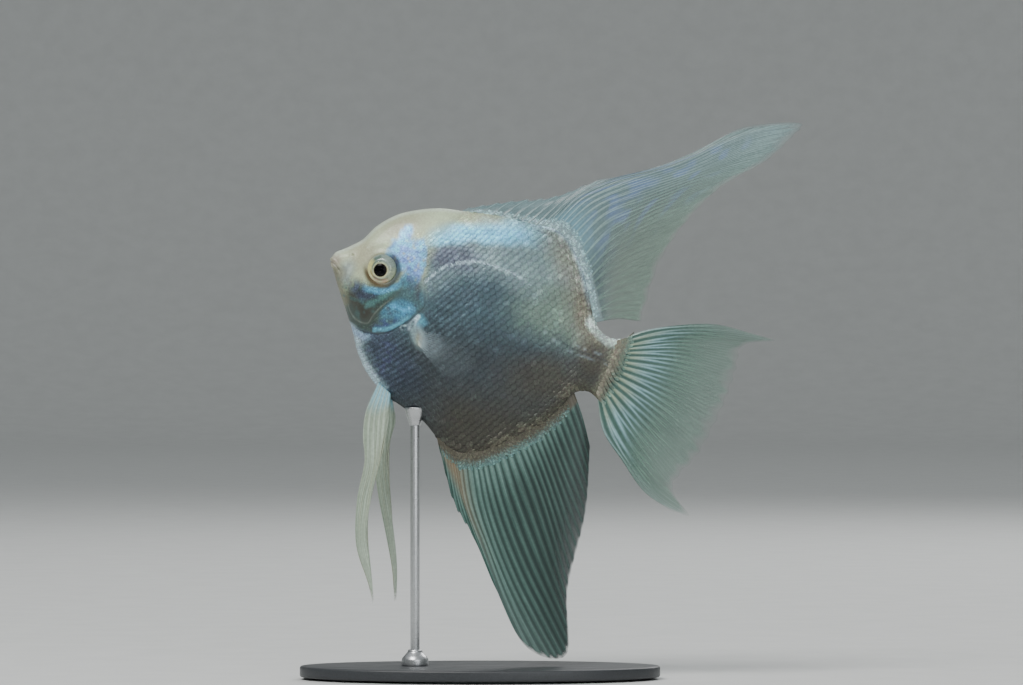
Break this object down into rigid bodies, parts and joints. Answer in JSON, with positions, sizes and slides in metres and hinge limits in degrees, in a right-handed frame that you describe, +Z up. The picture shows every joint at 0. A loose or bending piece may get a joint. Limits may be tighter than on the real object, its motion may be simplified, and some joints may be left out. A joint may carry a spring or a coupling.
{
  "type": "freshwater angelfish",
  "caption": "Life-size still freshwater angelfish, nose up, with long trailing dorsal, anal and pelvic fins, held by one rod on an oval base.",
  "frame": {"origin": "middle of the underside of the stand's oval base, on the surface it rests on", "axes": "+Z up, -X towards the snout, -Y towards the fish's left side"},
  "size_m": [0.134, 0.05, 0.1476],
  "materials": {
    "scaled_skin": "wet, scaled, silvery blue-grey with an iridescent sheen",
    "head_skin": "smooth, moist, cream to tan with iridescent blue patches",
    "gill_cover_skin": "smooth, pearly, turquoise with a violet rim",
    "iris": "clear, wet, cream-yellow iris",
    "pupil": "clear, black",
    "fin": "thin, translucent, blue-grey with pale rays",
    "pelvic_fin": "opaque cream-white",
    "base_paint": "satin charcoal paint",
    "rod_steel": "brushed steel"
  },
  "bodies": {
    "root": {"head": "head_skin", "lower_jaw": "head_skin", "gill_cover_left": "gill_cover_skin", "gill_cover_right": "gill_cover_skin", "eye_left": "iris", "eye_right": "iris", "pupil_left": "pupil", "pupil_right": "pupil", "trunk": "scaled_skin", "tail_stem": "scaled_skin", "dorsal_fin": "fin", "anal_fin": "fin", "caudal_fin": "fin", "pectoral_fin_left": "fin", "pectoral_fin_right": "fin", "pelvic_fin_left": "pelvic_fin", "pelvic_fin_right": "pelvic_fin", "stand_base": "base_paint", "stand_collar": "rod_steel", "stand_rod": "rod_steel", "stand_saddle": "rod_steel"}
  },
  "joints": []
}
